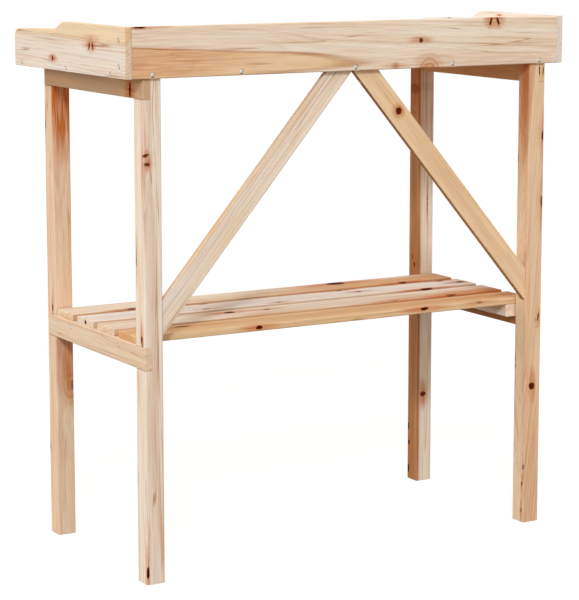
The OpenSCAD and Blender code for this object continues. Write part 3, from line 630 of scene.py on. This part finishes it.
over_rail = middle("top_rail_right")[0]
for node, look in PLANKS.items():
    lo, hi = mm_box(node)
    centre = (lo[1] + hi[1]) / 2
    spots = [(over_rail, centre + t) for t in PLANK_SCREWS
             if leg_front[1][1] + CLEAR < centre + t < leg_rear[0][1] - CLEAR]
    spots += [(over_leg, y) for y in (middle("leg_front_right")[1], middle("leg_rear_right")[1])
              if lo[1] < y < hi[1]]
    entry = [(s * x, y, hi[2]) for x, y in spots for s in (-1, 1)]
    screws["tray_plank_screws"] += [(e, (0, 0, -1), PLANK_SCREW) for e in entry]
    points, faces = board(node, 0, BOARD_ARRIS, PLANK_GRID, 2, 1, entry)
    finish = planed_fir(node, "x", sap=HANDLED, heart=HANDLED_HEART, **look)
    make_piece(node, points, faces, finish)

# -------------------------------------------------- side panels
# A thin fir board closes each end of the tray, high at the back and stepped down in a sweep to a
# low, rounded front. It is screwed to the ends of the planks and to the corner batten.
PANEL_ARRIS = 1.2  # mm radius of the sanded edges
PANEL_GRID = (8, 6, 8)
SWEEP_DROP, SWEEP_FROM, SWEEP_RUN = 12.5, 146.0, 48.0  # mm: the step, where it starts, how long it is
FRONT_SLOPE, FRONT_CORNER, CORNER_LINES = 5.0, 15.0, 12  # mm, and the grid lines over the corner
PANEL_SCREW_FRONT = 28.0  # mm from the front end
BATTEN_SCREWS = (18.0, 57.0)  # mm above the bottom of the panel
PANEL_SCREW, BATTEN_SCREW = 35.0, 27.0  # mm length
SHAPED = 44.0  # mm above the bottom from where the panel follows its top edge
SHADED_TOP_EDGE = [((0, 0, 1), (0.94, 0.91, 0.87))]  # painted shade: the upward face of a top edge is darker, against the light from above


def panel_top(along, full):
    """Height of the top edge at a distance from the front end: a quarter circle, a straight
    rise of 5 mm, then a step made of a hollow and a round arc of one radius, and the full height.
    An arc of radius r that spans half the step each way has r = (run^2 + drop^2) / (4 drop)."""
    low = full - SWEEP_DROP
    front = low - FRONT_SLOPE
    r = (SWEEP_RUN ** 2 + SWEEP_DROP ** 2) / (4 * SWEEP_DROP)
    near = np.clip(FRONT_CORNER - along, 0, FRONT_CORNER)
    up = np.interp(along, (FRONT_CORNER, SWEEP_FROM), (front, low))
    up += np.sqrt(FRONT_CORNER ** 2 - near ** 2) - FRONT_CORNER
    hollow = low + r - np.sqrt(r ** 2 - np.clip(along - SWEEP_FROM, 0, SWEEP_RUN / 2) ** 2)
    crown = full - r + np.sqrt(r ** 2 - np.clip(SWEEP_FROM + SWEEP_RUN - along, 0, SWEEP_RUN / 2) ** 2)
    return np.where(along < SWEEP_FROM, up, np.where(along < SWEEP_FROM + SWEEP_RUN / 2, hollow, crown))


PANELS = {
    "side_panel_left": dict(
        pith=(40, 0, 10), sap="#ebe4dd", tone="#e2d6c8", tones=.3, late=.4, ends=(1, .95, .9), swerve=1,
        knots=[(-388, -109, 833.6, 3, 5, 1.7, .95), (-388, 40, 845, 3, 1.9, 1.6, .8)]),
    "side_panel_right": dict(
        pith=(36, 0, 46), lean=(-0.5, 0), heart_r=44, edge=3, rim=.4, bow=2.5, sap="#ede1d5",
        heart="#f1dabb", tones=.15, late=.5, veins=.7, ends=(.95, .84, .7), sides=SHADED_TOP_EDGE,
        knots=[(399, 79, 817, 6, 2.4, 7, 1, (-16, 0, 0)), (399, 91, 817, 6, 2.4, 7, 1, (16, 0, 0)),
               (399, 85, 828, 6, 6, 5, .2), (399, -56, 791, 6, 3.4, 5, .85)]),
}
plank_z = middle("tray_plank_1")[2]
for node, look in PANELS.items():
    lo, hi = mm_box(node)
    s = 1 if node.endswith("right") else -1
    outer = hi[0] if s > 0 else lo[0]
    rows = (lo[1] + PANEL_SCREW_FRONT, middle("tray_plank_3")[1], middle("tray_plank_5")[1])
    floor_entry = [(outer, y, plank_z) for y in rows]
    post_entry = [(outer, middle("corner_batten_right")[1], lo[2] + z) for z in BATTEN_SCREWS]
    screws["side_panel_screws"] += [(e, (-s, 0, 0), PANEL_SCREW) for e in floor_entry]
    screws["corner_batten_screws"] += [(e, (-s, 0, 0), BATTEN_SCREW) for e in post_entry]
    corner = lo[1] + FRONT_CORNER * (1 - np.cos(np.linspace(0, np.pi / 2, CORNER_LINES)))
    more = {1: corner, 2: [lo[2] + SHAPED]}
    points, faces = board(node, 1, PANEL_ARRIS, PANEL_GRID, 0, s, floor_entry + post_entry, more)
    # above the line where shaping starts, heights stretch or shrink to end at the top edge
    full = hi[2] - lo[2]
    share = np.clip((points[:, 2] - lo[2] - SHAPED) / (full - SHAPED), 0, None)
    top = panel_top(points[:, 1] - lo[1], full)
    points[:, 2] = np.where(share > 0, lo[2] + SHAPED + share * (top - SHAPED), points[:, 2])
    make_piece(node, points, faces, planed_fir(node, "y", **look))

# -------------------------------------------------- back board
# One wide fir board stands behind the planks, between the side panels, screwed to the edge of the
# rear plank. Five screw heads show along its foot, each in a small countersunk mouth.
BACK_SCREW_STEPS = (150.0, 171.0)  # mm from the end screws to their neighbours, right and left
BACK_SCREW = 35.0  # mm length
BACK_GRID = (12, 8, 9)
end = middle("leg_rear_right")[0]
rows = (-end, -end + BACK_SCREW_STEPS[1], 0.0, end - BACK_SCREW_STEPS[0], end)
entry = [(x, mm_box("back_board")[1][1], plank_z) for x in rows]
screws["back_board_screws"] = [(e, (0, -1, 0), BACK_SCREW) for e in entry]
points, faces = board("back_board", 0, BOARD_ARRIS, BACK_GRID, 1, 1, entry)
finish = planed_fir(
    "back_board", "x", pith=(0, -36.5, -24), lean=(-1.2, -0.9), heart_r=42, edge=1.2, rim=1, bow=2.5,
    sap="#f6e5d1", heart="#f3d2ab", tones=.35, veins=.6, ends=(1, .95, .88), sides=SHADED_TOP_EDGE, swerve=-12,
    eyes=[(-137, 202.5, 774, 28, 12, 25), (-73, 202.5, 777, 10, 8, 9)],
    knots=[(375, 202, 850, 11, 6, 3, 1), (-120.6, 202.5, 817, 4.4, 6, 4.4, .85),
           (-135, 202.5, 775, 4, 6, 6, -.6), (-150, 202.5, 786, 26, 6, 9, -.22),
           (250, 202.5, 834, 60, 4, 14, -.1), (-255, 202.5, 844, 2.8, 6, 8, .9, (0, -18, 0)),
           (-269, 202.5, 844, 2.8, 6, 8, .9, (0, 18, 0)), (-262, 202.5, 846, 3.4, 6, 7, -.9),
           (-73, 202.5, 778.5, 5, 6, 4, .15), (-260, 202.5, 782, 40, 4, 7, -.3),
           (375, 202.5, 797, 36, 4, 18, -.5)])
make_piece("back_board", points, faces, finish)

# -------------------------------------------------- corner battens
# A short square fir batten stands in each rear corner of the tray, a little lower than the boards
# it joins. Screws come into it through the side panel, and go through it into the back board.
BATTENS = {
    "corner_batten_left": dict(pith=(14, 14, 0)),
    "corner_batten_right": dict(pith=(14, -14, 0)),
}
BATTEN_GRID = (8, 8, 10)
low, high = (mm_box("side_panel_right")[0][2] + z for z in BATTEN_SCREWS)
rows = [low + (high - low) * f / 3 for f in (1, 2)]  # between the screws of the side panel
for node, look in BATTENS.items():
    lo, hi = mm_box(node)
    entry = [((lo[0] + hi[0]) / 2, lo[1], z) for z in rows]
    screws["corner_batten_screws"] += [(e, (0, 1, 0), BATTEN_SCREW) for e in entry]
    points, faces = board(node, 2, LEG_ARRIS, BATTEN_GRID, 1, -1, entry)
    make_piece(node, points, faces, planed_fir(node, "z", **look))

# -------------------------------------------------- screws
# Zinc-plated steel wood screws with raised countersunk heads and a cross recess, driven just
# below the wood. Their threads are out of sight in the planks, rails and battens.
CROWN_SINK, DOME, RIM = 0.12, 1.1, 0.3  # mm: crown below the wood, its rise, edge of the head
SHANK_R, NECK = 2.0, 0.3  # mm: crest of the thread, how far the cone runs past it
RECESS_R, RECESS_HALF, RECESS_DEEP = 2.0, 0.65, 1.0  # mm
RECESS_FLAT = 0.35  # share of its depth that the recess loses towards its ends
THREAD_PITCH, THREAD_DEEP, POINT = 2.2, 0.55, 5.0  # mm
BLUNT, SWELL = 0.02, 0.8  # share of the taper left at the point, and its power
FACETS, LAYERS = 12, 5  # of the thread, in one turn and in one pitch
DUST_AND_SHADE_R, RIM_DUST_AND_SHADE, CROSS_SHADE = 3.0, 0.7, 0.5  # mm from where wood dust and painted shade darken a head's rim; how much there, and how much painted shade darkens the recess, of 1
SHADE_FROM, SHADE_OVER, SHADE = 0.3, 0.4, 2.4  # painted shade on the lower side of a head, by its radius; how fast it grows
TURN = 0.7  # radians from one head's cross to the next


def screw_head():
    """A countersunk head round the origin, driven towards +Z. A square grid becomes a disc, each
    square ring a circle; the top is a low dome, DOME (r / R)^2 below its crown, less the cross
    recess, and underneath a cone of 45 degrees runs in to the shank. Also gives how dark each
    point is painted: the crown is bright, the rim is darkened by wood dust and painted shade, and the recess
    by painted shade."""
    half = np.array([0, 0.35, 0.6, 0.75, 1.3, 1.95, 2.15, 2.9, 3.5, HEAD_R])  # close over the recess's edges
    row = np.unique(np.append(-half, half))
    block, faces = skin(row, row, np.array([0.0, 0.5, 1.0]))  # which become top, rim and cone
    m, bend = rounded(block[:, 0], block[:, 1])
    short, long = np.sort(np.abs(block[:, :2]), axis=1).T
    in_cross = (short < RECESS_HALF) & (long < RECESS_R)
    recess = np.where(in_cross, RECESS_DEEP * (1 - RECESS_FLAT * long / RECESS_R), 0)
    top = CROWN_SINK + DOME * (m / HEAD_R) ** 2 + recess
    rim = CROWN_SINK + DOME + RIM
    cone = rim + np.clip(HEAD_R - m, 0, HEAD_R - SHANK_R + NECK)
    z = np.select([block[:, 2] == 0, block[:, 2] == 0.5], [top, rim], cone)
    rim_dust_and_shade = np.interp(m, (DUST_AND_SHADE_R, HEAD_R), (0, RIM_DUST_AND_SHADE))
    dull = np.where(block[:, 2] > 0, 1, np.where(in_cross, CROSS_SHADE, rim_dust_and_shade))
    return np.column_stack([block[:, :2] * bend[:, None], z]), faces, dull


def screw_thread(length):
    """A threaded shank from under the head to its point. At angle t and depth z the radius is the
    core plus a crest that peaks once a turn and once a pitch: crest = max(0, cos(2 pi z / pitch - t))^3,
    and the whole tapers over its last 5 mm, as the power 0.8 of what is left, to a blunt point."""
    t = np.linspace(0, 2 * np.pi, FACETS + 1)[:-1]
    z = np.linspace(SEAT, length, int((length - SEAT) / THREAD_PITCH * LAYERS) + 1)
    tt, zz = np.meshgrid(t, z, indexing="ij")
    crest = np.clip(np.cos(2 * np.pi * zz / THREAD_PITCH - tt), 0, None) ** 3
    taper = np.clip((length - zz) / POINT, BLUNT, 1) ** SWELL
    r = (SHANK_R - THREAD_DEEP + THREAD_DEEP * crest) * taper
    ring = np.stack([r * np.cos(tt), r * np.sin(tt), zz], -1)
    n, k = ring.shape[:2]
    ids = np.arange(n * k).reshape(n, k)
    after = np.roll(ids, -1, 0)
    side = np.stack([ids, after, np.roll(after, -1, 1), np.roll(ids, -1, 1)], -1)[:, :-1]
    first, last = np.full(n, n * k), np.full(n, n * k + 1)
    start = np.stack([first, after[:, 0], ids[:, 0], ids[:, 0]], -1)
    stop = np.stack([last, ids[:, -1], after[:, -1], after[:, -1]], -1)
    points = np.concatenate([ring.reshape(-1, 3), [(0, 0, z[0]), (0, 0, length)]])
    return points, np.concatenate([side.reshape(-1, 4), start, stop])


def zinc_plated_steel():
    """Bright zinc over pressed steel, brushed a little by the driver: a clean pale grey crown, and
    a dark rim and recess: wood dust and painted shade on the rim, painted shade in the recess and on the
    lower side of a head on an upright face."""
    mat = bpy.data.materials.new("zinc_plated_steel")
    add = nodes_of(mat)
    place = add("TexCoord", out="Object")
    spots = add("TexNoise", {"Vector": place, "Scale": 900.0, "Detail": 3.0})
    rough = add("MapRange", {0: spots, 3: 0.3, 4: 0.46})
    bright = add("Mix", {0: spots, 6: linear("#e2e0da"), 7: linear("#f7f6f3")}, **COLOUR)
    # how dark each point is painted: wood dust and painted shade round the rim, painted shade in the recess
    # and under the dome
    dull = add("Attribute", attribute_name="painted_shade_and_dust", out="Fac")
    colour = add("Mix", {0: dull, 6: bright, 7: linear("#4f463c")}, **COLOUR)
    zinc = add("BsdfPrincipled", {"Base Color": colour, "Metallic": 0.5, "Roughness": rough})
    add("OutputMaterial", {"Surface": zinc})
    return mat


zinc = zinc_plated_steel()
head, head_faces, head_dull = screw_head()
for group, placed in screws.items():
    points, faces, dull, count = [], [], [], 0
    for i, (entry, way, length) in enumerate(placed):
        thread, thread_faces = screw_thread(length)
        turned = Vector(way).to_track_quat("Z", "Y").to_matrix() @ Euler((0, 0, TURN * i)).to_matrix()
        for part, part_faces in ((head, head_faces), (thread, thread_faces)):
            points.append(part @ np.array(turned).T + np.array(entry))
            faces.append(part_faces + count)
            count += len(part)
        # painted shade: under the curve of its dome a head on an upright face is in its own shade, so its
        # lower side is painted darker, and duller
        down = -(head @ np.array(turned).T)[:, 2] / HEAD_R
        low = np.clip(down - SHADE_FROM, 0, SHADE_OVER) * SHADE
        dull += [np.maximum(head_dull, low), np.ones(len(thread))]
    points, faces, dull = (np.concatenate(rows) for rows in (points, faces, dull))
    make_piece(group, points, faces, zinc, "heads", dull)

# -------------------------------------------------- floor, light and camera
# The bench stands on white paper in a white studio. A soft key light stands high behind the
# camera, a wide fill is brightest from the bench's right and weakest from overhead, and the paper
# glows to the camera but throws little light back at the bench.
KEY_WAY = (0.62, 1.0, 0.74)  # towards the key light
PAPER = 12.0  # metres from the middle of the floor to its edges


def seen_directly(add):
    """1 for the rays that show a surface to the camera, straight on, mirrored or through glass,
    and 0 for the rays by which surfaces light each other."""
    kinds = [add("LightPath", out=f"Is {kind} Ray") for kind in ("Camera", "Glossy", "Transmission")]
    two = add("Math MAXIMUM", {0: kinds[0], 1: kinds[1]})
    return add("Math MAXIMUM", {0: two, 1: kinds[2]})


world = bpy.data.worlds.new("studio")
bpy.context.scene.world = world
add = nodes_of(world)
way = add("TexCoord", out="Generated")
side, back, over = (add("SeparateXYZ", {0: way}, out=axis) for axis in "XYZ")
side = add("MapRange", {0: side, 1: -1.0, 3: 0.81, 4: 1.57})
back = add("MapRange", {0: back, 1: -1.0, 3: 0.2, 4: -0.2})
over = add("MapRange", {0: over, 4: -0.5})
level = add("Math ADD", {0: side, 1: over})
level = add("Math ADD", {0: level, 1: back})
fill = add("Background", {"Color": (1.05, 1.0, 0.93, 1), "Strength": level})
white = add("Background", {"Color": (1, 1, 1, 1), "Strength": 1.0})
surround = add("MixShader", {0: seen_directly(add), 1: fill, 2: white})
add("OutputWorld", {"Surface": surround})

sun = bpy.data.lights.new("key", "SUN")
sun.energy, sun.angle, sun.color = 1.2, math.radians(7.0), (0.94, 1.0, 1.06)
key = bpy.data.objects.new("key", sun)
key.rotation_euler = Vector(KEY_WAY).to_track_quat("Z", "Y").to_euler()
bpy.context.scene.collection.objects.link(key)

# to the camera the paper glows and takes a faint shade; what it throws back is dull and warm
floor_mesh = bpy.data.meshes.new("floor")
corners = [(x * PAPER, y * PAPER, 0) for x, y in ((-1, -1), (1, -1), (1, 1), (-1, 1))]
floor_mesh.from_pydata(corners, [], [(0, 1, 2, 3)])
floor = bpy.data.objects.new("floor", floor_mesh)
bpy.context.scene.collection.objects.link(floor)
paper = bpy.data.materials.new("white_paper")
add = nodes_of(paper)
lit = add("Emission", {"Strength": 1.04})
shaded = add("BsdfDiffuse", {"Color": (0.9, 0.88, 0.86, 1)})
bright = add("MixShader", {0: 0.12, 1: lit, 2: shaded})
dull = add("BsdfDiffuse", {"Color": (0.2, 0.165, 0.13, 1)})
surface = add("MixShader", {0: seen_directly(add), 1: dull, 2: bright})
add("OutputMaterial", {"Surface": surface})
floor_mesh.materials.append(paper)

lens = bpy.data.cameras.new("camera")
lens.sensor_width = 36.0
lens.lens = 132.8796  # mm
lens.shift_y = -0.08
lens.clip_end = 50
camera = bpy.data.objects.new("camera", lens)
camera.location = (1.83068, 3.12941, 1.00611)
camera.rotation_euler = (math.radians(90 - 8.543), 0, math.radians(180 - 30.30))
bpy.context.scene.collection.objects.link(camera)
bpy.context.scene.camera = camera
bpy.context.scene.view_settings.view_transform = "Standard"
